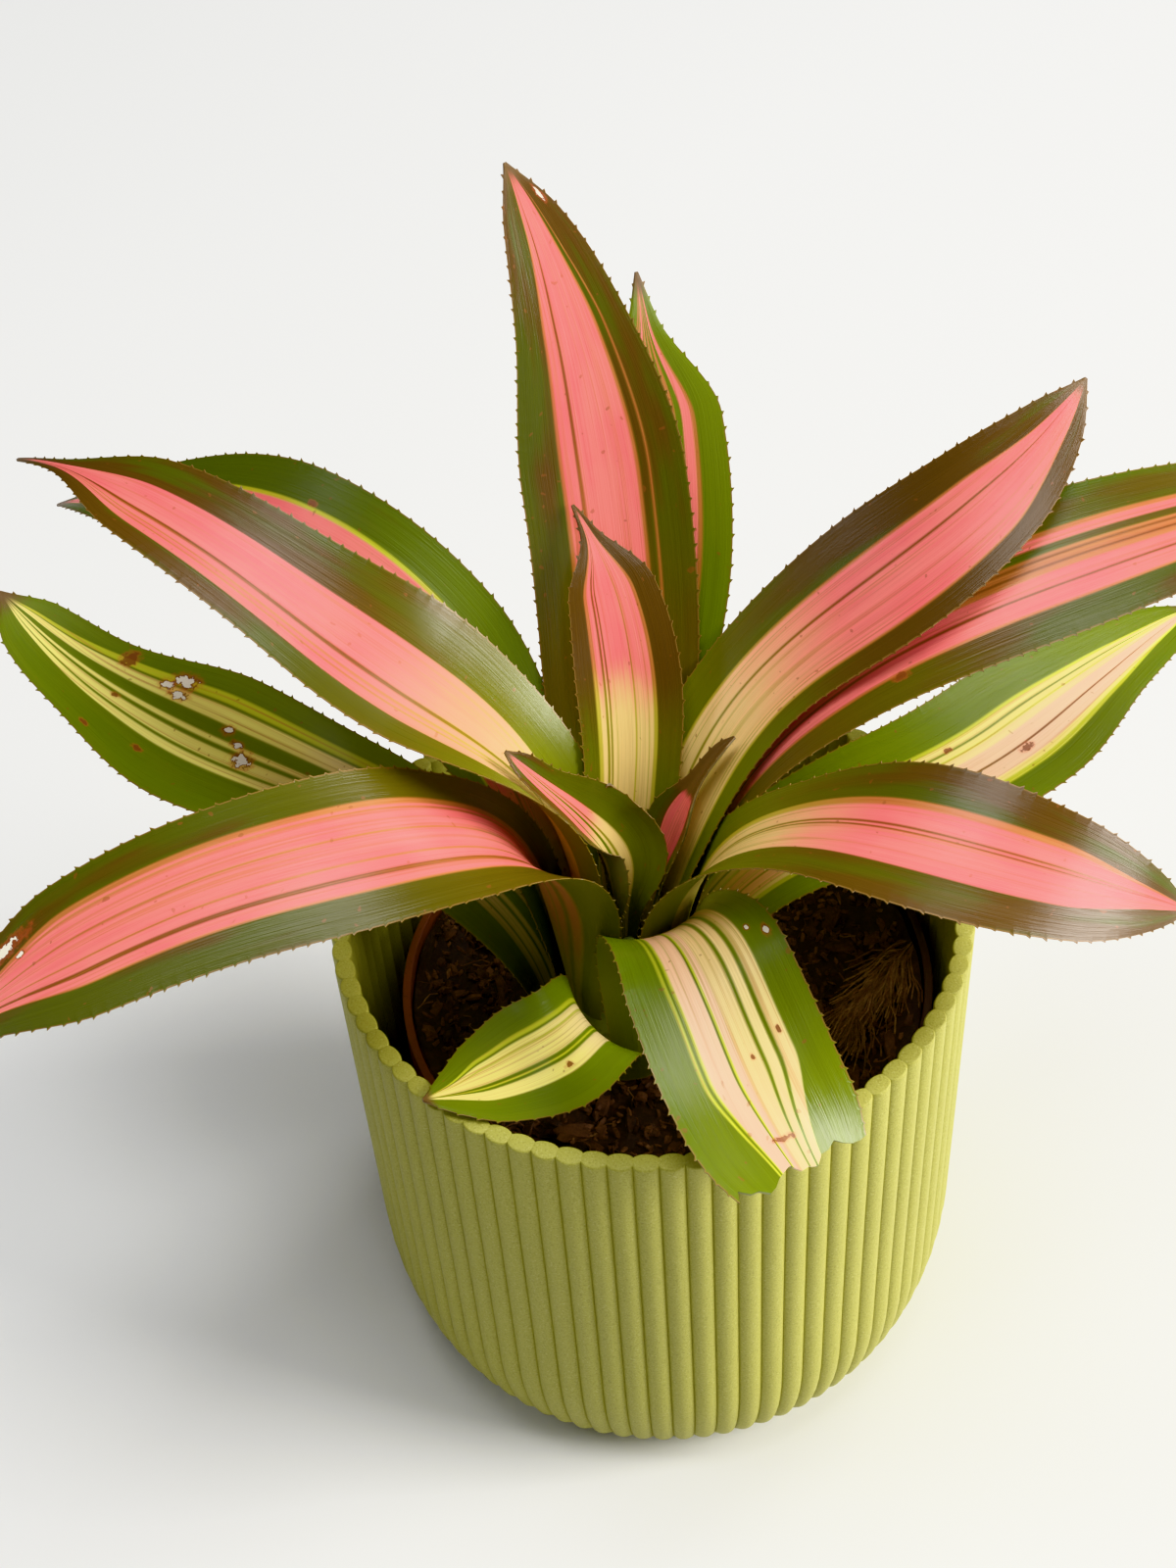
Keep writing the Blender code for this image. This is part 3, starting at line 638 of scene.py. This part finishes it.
    def paint(self, leaf: Leaf) -> bpy.types.Material:
        """The leaf's striped satin finish.

        Args:
            leaf: the leaf.

        Returns:
            The material.
        """
        p = Painter(leaf.name + " stripes")
        spread = p.node("ShaderNodeUVMap", {"uv_map": "UVMap"})
        parts = p.node("ShaderNodeSeparateXYZ", {}, {0: spread})
        share, across = parts, Signal(p, parts.socket.node.outputs[1])
        shift = len(leaf.name) * 1.7 + leaf.length * 0.1
        streaks = p.grain(p.vector(share * (leaf.length / 60), across * 26, shift), 1.0, 3.0, 0.6)
        fine = p.grain(p.vector(share * (leaf.length / 25), across * 110, shift), 1.0, 2.0, 0.6)
        pins = p.grain(p.vector(share * (leaf.length / 170), across * 36, shift + 3), 1.0, 2.0, 0.7)
        clouds = p.grain(p.vector(share * (leaf.length / 22), across * 2.5, shift), 1.0, 3.0)
        mottle = p.grain(p.vector(share * (leaf.length / 34), across * 5, shift + 7), 1.0, 2.0)
        drift = p.grain(p.vector(share * 4, across * 1.5, shift), 1.0, 1.0)
        place = (across - 0.5) * (1 + share.rising(0.78, 1.02) * 0.8) + 0.5 + (drift - 0.5) * 0.03
        outer = p.ramp(place, self.stops(leaf, OUTER))
        inner = p.ramp(place, self.stops(leaf, INNER))
        dark = p.ramp(place, self.stops(leaf, DARK))
        reach = share + (streaks - 0.5) * 0.10 + (clouds - 0.5) * 0.14
        colour = p.blend(inner, outer, reach.rising(*leaf.blush))
        blotch = p.ramp(clouds + (streaks - 0.5) * 0.4, [(0.3, (1.0, 0.70, 0.86)), (0.62, (1.0, 1.0, 1.0))])
        rosy = 0.9 if leaf.slot == "leaf_pink" else 0.2
        colour = p.blend(colour, blotch, (1 - dark) * reach.rising(*leaf.blush) * rosy, "MULTIPLY")
        thread = p.blend((0.42, 0.40, 0.05), (0.52, 0.17, 0.06), reach.rising(*leaf.blush))
        colour = p.blend(colour, thread, pins.rising(0.53, 0.62) * (1 - dark) * (0.1 + clouds) * 0.75)
        brown = (0.105, 0.046, 0.009) if leaf.slot == "leaf_pink" else (0.12, 0.125, 0.008)
        turned = mottle + (share - 0.55) * 0.35 + (leaf.brown - 0.5) * 0.4
        edge = p.blend((0.070, 0.095, 0.004), brown, turned.rising(0.38, 0.62))
        colour = p.blend(colour, edge, dark * share.rising(0.3, 0.65) * (0.8 if leaf.slot == "leaf_pink" else 0.3))
        shade = p.ramp(streaks * 0.6 + fine * 0.4, [(0.3, (0.66, 0.62, 0.60)), (0.7, (1.0, 1.0, 1.0))])
        colour = p.blend(colour, shade, 0.55, "MULTIPLY")
        # Painted shade: each leaf is darkened towards its base to stand for the deep shadow in the rosette's hollow;
        # part of it is the sheath's own darker green.
        colour = p.blend(colour, (0.26, 0.26, 0.10), share.rising(0.26, 0.02) * 0.9, "MULTIPLY")
        specks = p.grain(p.vector(share * (leaf.length / 1.6), across * 20, shift + 9), 1.0, 0.0)
        colour = p.blend(colour, (0.26, 0.09, 0.03), specks.rising(0.80, 0.84) * 0.5)
        half = 2 * sum(leaf.half_width) / len(leaf.half_width)
        wobble = p.grain(p.vector(share * (leaf.length / 1.3), across * (half / 1.3), shift), 1.0, 2.0, 0.7)
        for scar in leaf.scars:
            long = (share - scar.share) * (leaf.length / scar.long)
            wide = (across - (scar.side + 1) / 2) * (half / scar.wide)
            away = (long * long + wide * wide) ** 0.5 + (wobble - 0.5) * 2.6
            colour = p.blend(colour, (0.62, 0.12, 0.06), away.rising(2.1, 1.2) * 0.35)
            colour = p.blend(colour, (0.20, 0.06, 0.02), away.rising(1.35, 1.0) * 0.85)
            if scar.pale:
                colour = p.blend(colour, (0.86, 0.80, 0.66), away.rising(0.95, 0.8))
        if leaf.end < 5.0:
            colour = p.blend(colour, DRY_TIP, (share + (streaks - 0.5) * 0.04).rising(leaf.dry, leaf.dry + 0.035))
        edge = abs(across - 0.5).rising(0.488, 0.497)
        colour = p.blend(colour, SPINE_BROWN, edge * 0.8)
        under = p.node("ShaderNodeAttribute", {"attribute_name": "underside"}, {}, "Fac")
        back = p.blend(SHEATH, SCURF, share.rising(0.2, 0.6))
        colour = p.blend(colour, back, under * 0.55)
        relief = fine * 0.5 + streaks * 0.3 + pins * 0.2
        return p.finish(colour, 0.22 + fine * 0.16 + under * 0.2, relief, 0.25, 0.5, Specular_IOR_Level=0.36)

    def make_all(self) -> None:
        """Builds every leaf and seats it over its solid."""
        for leaf in LEAVES:
            Workshop.hand_over(self.build(leaf), leaf.name, leaf.slot)


@dataclass
class CoverPot:
    """The ribbed olive pot that stands round the grower's pot: upright ribs under a flat scalloped top."""

    height: float = 128.3
    rim_radius: float = 69.0
    waist_radius: float = 68.0
    foot_radius: float = 55.5
    corner_height: float = 35.4
    wall: float = 2.3
    base: float = 2.0
    ribs: int = 82
    rib_rise: float = 1.2
    inner_rise: float = 0.9
    rib_roundness: float = 1.4
    rib_points: int = 14
    rib_start: float = 183.8
    lip: tuple[tuple[float, float], ...] = ((0.0, -0.5), (-0.06, -0.2), (-0.22, -0.05), (-0.4, 0.0))

    def side(self, inset: float, base: float) -> list[tuple[float, float]]:
        """(radius, height) down one face of the wall, from under the rim to near the centre.

        Args:
            inset: how far inside the outer valleys the face lies.
            base: the height of its floor.

        Returns:
            The rings.
        """
        top, corner = self.height - 2.0, self.corner_height
        rings = [(self.rim_radius + (self.waist_radius - self.rim_radius) * n / 6 - inset,
                  top + (corner - top) * n / 6) for n in range(7)]
        reach = self.waist_radius - self.foot_radius
        for degrees in range(10, 91, 10):
            angle = math.radians(degrees)
            rings.append((self.foot_radius + reach * math.cos(angle) - inset,
                          base + (corner - base) * (1 - math.sin(angle))))
        return rings + [(40.0, base), (15.0, base), (2.0, base)]

    def build(self) -> bpy.types.Object:
        """The pot: one turned skin, over the rim and down inside, drawn into ribs on both faces."""
        outer = list(reversed(self.side(0.0, 0.0)))
        inner = self.side(self.wall, self.base)
        edge = [(self.rim_radius + out, self.height + up) for out, up in self.lip]
        back = [(self.rim_radius - self.wall - out, self.height + up) for out, up in reversed(self.lip)]
        piece = Workshop.turned("cover_pot_shell", outer + edge + back + inner, self.ribs * self.rib_points)
        points = points_of(piece) / MM
        radius = np.hypot(points[:, 0], points[:, 1])
        angle = np.arctan2(points[:, 1], points[:, 0])
        cell = np.floor(angle / math.tau * self.ribs + 1e-6)
        across = (angle / math.tau * self.ribs + 1e-6 - cell) * 2 - 1
        ring = np.arange(len(points)) // (self.ribs * self.rib_points)
        outside = ring < len(outer) + len(edge)
        foot = np.where(outside, 0.0, self.base)
        rise = np.where(outside, self.rib_rise, -self.inner_rise) * np.clip((points[:, 2] - foot) / 8.0, 0, 1)
        lifted = radius + rise * np.maximum(np.cos(across * math.pi / 2), 0.0) ** self.rib_roundness
        turned = (cell + (np.sin(across * math.pi / 2) + 1) / 2) / self.ribs * math.tau + math.radians(self.rib_start)
        points[:, 0], points[:, 1] = lifted * np.cos(turned), lifted * np.sin(turned)
        put_points(piece, points * MM)
        Workshop.choose(piece)
        bpy.ops.object.mode_set(mode="EDIT")
        bpy.ops.mesh.select_all(action="DESELECT")
        bpy.ops.mesh.select_non_manifold()
        bpy.ops.mesh.edge_face_add()
        bpy.ops.object.mode_set(mode="OBJECT")
        Workshop.tidy(piece)
        Workshop.smooth(piece, 50)
        piece.data.materials.append(self.paint())
        return piece

    @staticmethod
    def paint() -> bpy.types.Material:
        """Matte olive plastic with a fine cast grain."""
        p = Painter("olive plastic, fine grained")
        place = p.object_place()
        grit = p.grain(place, 2300.0, 3.0, 0.65)
        cloud = p.grain(place, 18.0, 2.0)
        colour = p.blend((0.36, 0.345, 0.07), (0.42, 0.40, 0.09), cloud)
        colour = p.blend(colour, (0.25, 0.24, 0.045), grit.rising(0.48, 0.34) * 0.6)
        colour = p.blend(colour, (0.56, 0.55, 0.22), grit.rising(0.56, 0.70) * 0.5)
        return p.finish(colour, 0.48 + cloud * 0.1, grit, 0.12, 0.6, Specular_IOR_Level=0.32)


@dataclass
class GrowersPot:
    """The thin red-brown pot inside, with its wider rim band and drain holes."""

    centre: tuple[float, float] = (2.6, 0.5)
    top: float = 101.0
    rim_radius: float = 59.8
    wall: float = 1.8
    band: float = 9.0
    band_step: float = 1.6
    foot_radius: float = 43.0
    base: float = 2.3
    drains: int = 4
    drain_radius: float = 3.5
    drain_circle: float = 24.0

    def drill(self, piece: bpy.types.Object) -> None:
        """Cuts the drain holes through the base."""
        for n in range(self.drains):
            angle = math.tau * n / self.drains
            place = Vector((self.centre[0] + self.drain_circle * math.cos(angle),
                            self.centre[1] + self.drain_circle * math.sin(angle), self.base)) * MM
            Workshop.clear_choice()
            bpy.ops.mesh.primitive_cylinder_add(vertices=32, radius=self.drain_radius * MM,
                                                depth=4 * self.wall * MM, location=place)
            bit = Workshop.named("drain_bit")
            Workshop.apply(piece, "BOOLEAN", operation="DIFFERENCE", object=bit)
            bpy.data.objects.remove(bit)

    def build(self) -> bpy.types.Object:
        """The pot: a turned shell with a rolled lip, and drain holes in its base."""
        body = self.rim_radius - self.band_step
        low = self.top - self.band
        outline = [(self.rim_radius, self.top), (self.rim_radius, low + 0.6), (self.rim_radius - 0.6, low),
                   (body, low - 1.0), (body - 1.5, low - 10), ((body + self.foot_radius) / 2, low / 2),
                   (self.foot_radius + 0.6, self.base + 2), (self.foot_radius, self.base), (30.0, self.base),
                   (12.0, self.base), (1.0, self.base)]
        piece = Workshop.turned("growers_pot_shell", outline, 128)
        bpy.ops.object.mode_set(mode="EDIT")
        bpy.ops.mesh.select_all(action="DESELECT")
        bpy.ops.object.mode_set(mode="OBJECT")
        for vert in piece.data.vertices:
            vert.select = vert.co.xy.length < 2 * MM
        bpy.ops.object.mode_set(mode="EDIT")
        bpy.ops.mesh.edge_face_add()
        bpy.ops.object.mode_set(mode="OBJECT")
        piece.location = (self.centre[0] * MM, self.centre[1] * MM, 0)
        Workshop.settle(piece)
        Workshop.tidy(piece)
        Workshop.apply(piece, "SOLIDIFY", thickness=self.wall * MM, offset=-1.0)
        self.drill(piece)
        Workshop.apply(piece, "BEVEL", width=0.4 * MM, segments=3, angle_limit=math.radians(50))
        Workshop.smooth(piece, 40)
        piece.data.materials.append(self.paint())
        return piece

    @staticmethod
    def paint() -> bpy.types.Material:
        """Thin terracotta-coloured plastic, dulled by dust and splashes, with a painted shadow darkening its right
        side.
        """
        p = Painter("terracotta plastic, dusty, painted shadow on right")
        place = p.object_place()
        dust = p.grain(place, 60.0, 4.0, 0.7)
        specks = p.grain(place, 900.0, 2.0)
        colour = p.blend((0.24, 0.06, 0.022), (0.16, 0.045, 0.02), dust)
        colour = p.blend(colour, (0.05, 0.025, 0.015), specks.rising(0.62, 0.7) * 0.6)
        # Painted shadow: points past x = 46 mm, on the pot's right side, are darkened almost to black, and the dust
        # noise wobbles the shadow's edge.
        right = p.node("ShaderNodeSeparateXYZ", {}, {0: place})
        colour = p.blend(colour, (0.018, 0.010, 0.006), (right + dust * 0.02).rising(0.046, 0.062) * 0.9)
        return p.finish(colour, 0.36 + dust * 0.25, specks, 0.05, 0.3)


@dataclass
class PottingMix:
    """Peat and bark with chips and coir fibres on top, round the leaf bases."""

    centre: tuple[float, float] = (2.6, 0.5)
    inside: float = 55.6
    top_radius: float = 57.4
    level: float = 94.0
    shards: int = 2300
    chips: int = 420
    fibres: int = 160
    tuft_start: tuple[float, float] = (55.0, 0.0)
    tuft_end: tuple[float, float] = (40.0, -18.0)
    reach: float = 0.98
    seed: int = 11

    def height(self, x: float, y: float) -> float:
        """The top's height at a place, in millimetres."""
        away = math.hypot(x - self.centre[0], y - self.centre[1])
        rough = noise.noise(Vector((x * 0.09, y * 0.09, 1.0))) * 1.6 + noise.noise(Vector((x * 0.3, y * 0.3, 5.0)))
        return self.level + rough + 4.2 * max(0.0, min(1.0, (away - 46) / 9)) ** 2

    def ground(self) -> bpy.types.Object:
        """The crumbly body of the mix, down to the bottom of the pot."""
        rings = [(self.top_radius * n / 46, self.level) for n in range(1, 47)]
        outline = rings + [(55.0, 91.0), (54.0, 86.0), (48.0, 45.0), (40.6, 4.6), (20.0, 4.6), (1.0, 4.6)]
        piece = Workshop.turned("mix_body", outline, 150)
        points = points_of(piece) / MM
        for point in points:
            point[:2] += self.centre
            if point[2] > self.level - 1:
                crumb = noise.noise(Vector((point[0] * 0.9, point[1] * 0.9, 9.0))) * 0.6
                point[2] = self.height(point[0], point[1]) + crumb
        put_points(piece, points * MM)
        bpy.ops.object.mode_set(mode="EDIT")
        bpy.ops.mesh.select_all(action="DESELECT")
        bpy.ops.mesh.select_non_manifold()
        bpy.ops.mesh.edge_face_add()
        bpy.ops.object.mode_set(mode="OBJECT")
        Workshop.tidy(piece)
        return piece

    def chip(self, name: str, levels: int) -> bpy.types.Object:
        """One knobbly crumb of bark.

        Args:
            name: its name.
            levels: how finely the ball that it starts from is divided.

        Returns:
            The crumb.
        """
        Workshop.clear_choice()
        bpy.ops.mesh.primitive_ico_sphere_add(subdivisions=levels, radius=MM)
        piece = Workshop.named(name)
        points = points_of(piece)
        for point in points:
            place = Vector(point) / MM
            point *= 1.0 + 0.6 * noise.noise(place * 1.3) + 0.3 * noise.noise(place * 3.1)
        put_points(piece, points)
        return piece

    def fibre(self) -> bpy.types.Object:
        """One curved coir fibre."""
        Workshop.clear_choice()
        bpy.ops.mesh.primitive_cylinder_add(vertices=4, radius=0.16 * MM, depth=9 * MM, rotation=(0, math.pi / 2, 0))
        piece = Workshop.named("coir_fibre")
        bpy.ops.object.transform_apply(rotation=True)
        bpy.ops.object.mode_set(mode="EDIT")
        bpy.ops.mesh.select_all(action="SELECT")
        bpy.ops.mesh.subdivide(number_cuts=3)
        bpy.ops.object.mode_set(mode="OBJECT")
        points = points_of(piece)
        along = points[:, 0] / (4.5 * MM)
        points[:, 2] += (1 - along**2) * 1.1 * MM
        points[:, 1] += np.sin(along * 2.4) * 0.9 * MM
        put_points(piece, points)
        return piece

    @staticmethod
    def tone(piece: bpy.types.Object, value: float) -> None:
        """Writes how pale a part is on all its points."""
        layer = piece.data.attributes.get("tone") or piece.data.attributes.new("tone", "FLOAT", "POINT")
        layer.data.foreach_set("value", np.full(len(piece.data.vertices), value))

    def scatter(self, template: bpy.types.Object, count: int, sizes: tuple[Colour, Colour], tilt: float,
                tones: tuple[float, float], random: np.random.Generator) -> list[bpy.types.Object]:
        """Copies a piece over the top of the mix.

        Args:
            template: the piece.
            count: how many copies.
            sizes: the smallest and largest scale along x, y and z.
            tilt: the largest lean, in radians.
            tones: the darkest and palest tone.
            random: the draw.

        Returns:
            The copies.
        """
        copies = []
        for n in range(count):
            angle, away = random.uniform(0, math.tau), self.inside * math.sqrt(random.uniform(0.03, self.reach))
            x, y = self.centre[0] + away * math.cos(angle), self.centre[1] + away * math.sin(angle)
            size = Vector(random.uniform(*sizes))
            copy = template.copy()
            copy.data = template.data.copy()
            turn = Euler((random.uniform(-tilt, tilt), random.uniform(-tilt, tilt), random.uniform(0, math.tau)))
            place = Vector((x, y, self.height(x, y) + 0.25 * size.z)) * MM
            copy.matrix_world = Matrix.LocRotScale(place, turn, size)
            bpy.context.scene.collection.objects.link(copy)
            self.tone(copy, random.uniform(*tones))
            copies.append(copy)
        return copies

    def build(self) -> bpy.types.Object:
        """The whole mix, joined in one piece."""
        random = np.random.default_rng(self.seed)
        body = self.ground()
        shard, chip, fibre = self.chip("bark_shard", 1), self.chip("bark_chip", 2), self.fibre()
        self.tone(body, 0.0)
        parts = self.scatter(shard, self.shards, ((0.6, 0.3, 0.25), (2.0, 0.8, 0.7)), 0.9, (0.0, 0.8), random)
        parts += self.scatter(chip, self.chips, ((1.0, 0.6, 0.5), (2.8, 1.4, 1.1)), 0.6, (0.0, 0.6), random)
        parts += self.scatter(chip, 40, ((3.0, 1.3, 1.0), (6.5, 2.2, 1.6)), 0.3, (0.2, 0.6), random)
        parts += self.scatter(fibre, self.fibres, ((0.4, 0.6, 0.4), (1.0, 1.4, 1.2)), 0.35, (0.3, 0.9), random)
        tuft = self.scatter(fibre, 260, ((0.9, 0.5, 0.6), (1.9, 1.3, 1.6)), 0.2, (0.75, 1.0), random)
        start, end = Vector(self.tuft_start), Vector(self.tuft_end)
        heading = math.atan2(end.y - start.y, end.x - start.x)
        for strand in tuft:
            share = random.uniform(0, 1)
            fan = random.normal(0, 1.0) * (0.5 + abs(share - 0.6))
            spot = start.lerp(end, share)
            turn = heading + fan * 0.35
            spot += Vector((-math.sin(heading), math.cos(heading))) * fan * 3.2
            place = Vector((spot.x, spot.y, 99.0 + random.uniform(-2.5, 2.0))) * MM
            lean = Euler((0, random.uniform(-0.25, 0.2), turn))
            strand.matrix_world = Matrix.LocRotScale(place, lean, strand.matrix_world.to_scale())
        parts += tuft
        for template in (shard, chip, fibre):
            bpy.data.objects.remove(template)
        Workshop.choose(body)
        for part in parts:
            part.select_set(True)
        bpy.ops.object.join()
        body.name = body.data.name = "mix_and_bark"
        Workshop.smooth(body, 35)
        body.data.materials.clear()
        body.data.materials.append(self.paint())
        return body

    @staticmethod
    def paint() -> bpy.types.Material:
        """Damp peat, with red-brown bark and paler fibre here and there."""
        p = Painter("peat and bark")
        place = p.object_place()
        patches = p.grain(place, 330.0, 3.0, 0.6)
        crumbs = p.grain(place, 1500.0, 3.0, 0.7)
        tone = p.node("ShaderNodeAttribute", {"attribute_name": "tone"}, {}, "Fac")
        colour = p.ramp(tone * 0.8 + (patches - 0.5) * 0.7,
                        [(0.0, (0.034, 0.019, 0.013)), (0.3, (0.115, 0.054, 0.031)),
                         (0.6, (0.24, 0.12, 0.066)), (0.95, (0.56, 0.36, 0.19))])
        colour = p.blend(colour, p.ramp(crumbs, [(0.35, (0.4, 0.4, 0.4)), (0.65, (1.0, 1.0, 1.0))]), 0.8,
                         "MULTIPLY")
        return p.finish(colour, 0.62 + crumbs * 0.25, crumbs, 0.3, 0.6)


class Stock:
    """The short stock under the leaf bases, which keeps its solid."""

    @staticmethod
    def dress() -> None:
        """Gives the solid its dull green skin, browned low down."""
        p = Painter("stock skin")
        place = p.object_place()
        height = p.node("ShaderNodeSeparateXYZ", {}, {0: place}, 2)
        rings = p.grain(place, 500.0, 3.0)
        colour = p.blend((0.10, 0.05, 0.02), (0.22, 0.26, 0.07), height.rising(0.094, 0.104))
        colour = p.blend(colour, (0.06, 0.06, 0.02), rings.rising(0.5, 0.7) * 0.6)
        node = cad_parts["stock"]
        node.data.materials.clear()
        node.data.materials.append(p.finish(colour, 0.5 + rings * 0.2, rings, 0.2, 0.5))
        log.info("stock: skin")


@dataclass
class Studio:
    """Camera, pale floor and soft light."""

    eye: tuple[float, float, float] = (-0.01182, -0.36141, 0.56109)
    pitch: float = 0.8277
    roll: float = -0.0747
    focal: float = 59.25

    def camera(self) -> None:
        """Stands the camera where the view was taken from."""
        forward = Vector((0, math.cos(self.pitch), -math.sin(self.pitch)))
        up = Vector((0, math.sin(self.pitch), math.cos(self.pitch)))
        right = Vector((1, 0, 0))
        side = math.cos(self.roll) * right + math.sin(self.roll) * up
        top = math.cos(self.roll) * up - math.sin(self.roll) * right
        lens = bpy.data.cameras.new("view")
        lens.sensor_width = 36.0
        lens.lens = self.focal
        lens.clip_start = 0.01
        camera = bpy.data.objects.new("view", lens)
        bpy.context.scene.collection.objects.link(camera)
        turn = Matrix((side, top, -forward)).transposed().to_4x4()
        camera.matrix_world = Matrix.Translation(self.eye) @ turn
        bpy.context.scene.camera = camera

    @staticmethod
    def floor() -> None:
        """A wide pale floor."""
        Workshop.clear_choice()
        bpy.ops.mesh.primitive_plane_add(size=8.0)
        floor = Workshop.named("floor")
        p = Painter("pale floor")
        tone = p.grain(p.object_place(), 3.0)
        floor.data.materials.append(p.finish(p.blend((0.78, 0.78, 0.77), (0.82, 0.82, 0.81), tone), 0.8))

    @staticmethod
    def lamp(name: str, place: Colour, aim: Colour, size: float, power: float, colour: Colour) -> None:
        """Hangs a square soft light.

        Args:
            name: its name.
            place: where it hangs, in metres.
            aim: the point it faces.
            size: its side, in metres.
            power: its power, in watts.
            colour: its colour.
        """
        light = bpy.data.lights.new(name, "AREA")
        light.size = size
        light.energy = power
        light.color = colour
        lamp = bpy.data.objects.new(name, light)
        bpy.context.scene.collection.objects.link(lamp)
        lamp.location = place
        lamp.rotation_euler = (Vector(aim) - Vector(place)).to_track_quat("-Z", "Y").to_euler()

    def set_up(self) -> None:
        """Stands everything round the plant."""
        self.camera()
        self.floor()
        self.lamp("window", (1.5, -0.3, 0.85), (0, 0, 0.1), 0.9, 46.0, (1.0, 0.98, 0.94))
        self.lamp("far window", (0.95, 0.85, 1.3), (0, 0, 0.15), 0.6, 6.5, (0.97, 0.99, 1.0))
        self.lamp("ceiling", (0.0, 0.05, 1.9), (0, 0, 0.1), 0.9, 20.0, (1.0, 1.0, 1.0))
        self.lamp("left window", (-1.2, 0.05, 1.25), (0, 0, 0.15), 0.35, 2.6, (0.97, 0.99, 1.0))
        self.lamp("room", (0.35, -1.35, 1.35), (0, 0, 0.1), 0.45, 2.6, (1.0, 1.0, 1.0))
        world = bpy.data.worlds.new("room light")
        world.use_nodes = True
        sky = world.node_tree.nodes["Background"]
        sky.inputs["Color"].default_value = (0.92, 0.95, 1.0, 1.0)
        sky.inputs["Strength"].default_value = 0.10
        bpy.context.scene.world = world
        bpy.context.scene.view_settings.view_transform = "Khronos PBR Neutral"


def main() -> None:
    """Builds the plant, its pots and the studio, and notes the sizes."""
    logging.basicConfig(level=logging.INFO, format="%(message)s")
    Workshop.hand_over(CoverPot().build(), "cover_pot", "cover_pot")
    Workshop.hand_over(GrowersPot().build(), "nursery_pot", "nursery_pot")
    Workshop.hand_over(PottingMix().build(), "potting_mix", "potting_mix")
    Stock.dress()
    LeafMaker().make_all()
    Studio().set_up()


if __name__ == "__main__":
    main()
